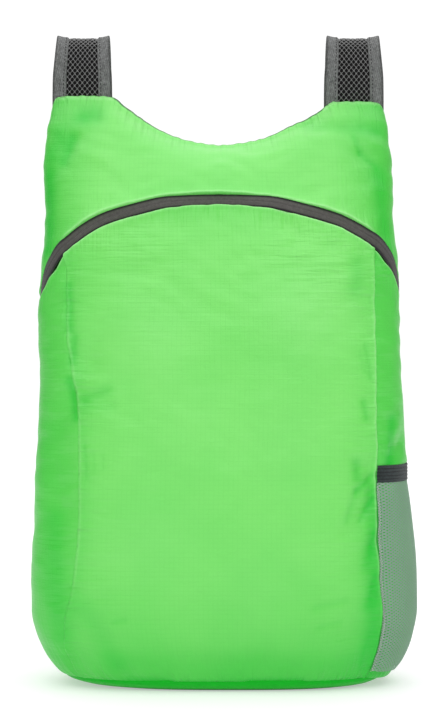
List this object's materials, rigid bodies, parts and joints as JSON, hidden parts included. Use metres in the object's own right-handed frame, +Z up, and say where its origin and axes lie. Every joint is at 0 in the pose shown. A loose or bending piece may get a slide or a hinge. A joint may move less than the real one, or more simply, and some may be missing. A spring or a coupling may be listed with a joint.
{
  "type": "packable backpack",
  "caption": "Light packable backpack with an arched front zip, scooped neckline, padded mesh shoulder straps and a net side pocket.",
  "frame": {"origin": "middle of the flat base, on the surface that the bag stands on", "axes": "+Z up, +X to the right of someone who faces the zip, the front with the zip faces -Y"},
  "size_m": [0.2751, 0.1678, 0.4666],
  "materials": {
    "ripstop_green": "thin ripstop nylon with a soft sheen",
    "zip_grey": "matte woven zip tape",
    "slider_metal": "dark satin enamel",
    "pocket_net": "fine see-through net",
    "elastic_slate": "ribbed woven elastic",
    "spacer_mesh": "open spacer mesh",
    "binding_grey": "matte woven tape",
    "webbing_grey": "flat woven webbing",
    "buckle_plastic": "satin moulded plastic"
  },
  "bodies": {
    "root": {"front_panel": "ripstop_green", "yoke": "ripstop_green", "side_gusset_left": "ripstop_green", "side_gusset_right": "ripstop_green", "back_panel": "ripstop_green", "bottom_panel": "ripstop_green", "zip_band": "zip_grey", "zip_slider": "slider_metal", "mesh_pocket": "pocket_net", "pocket_elastic": "elastic_slate", "strap_pad_left": "spacer_mesh", "strap_binding_left_outer": "binding_grey", "strap_binding_left_inner": "binding_grey", "buckle_loop_left": "webbing_grey", "ladder_lock_left": "buckle_plastic", "strap_webbing_left": "webbing_grey", "strap_pad_right": "spacer_mesh", "strap_binding_right_outer": "binding_grey", "strap_binding_right_inner": "binding_grey", "buckle_loop_right": "webbing_grey", "ladder_lock_right": "buckle_plastic", "strap_webbing_right": "webbing_grey"}
  },
  "joints": []
}
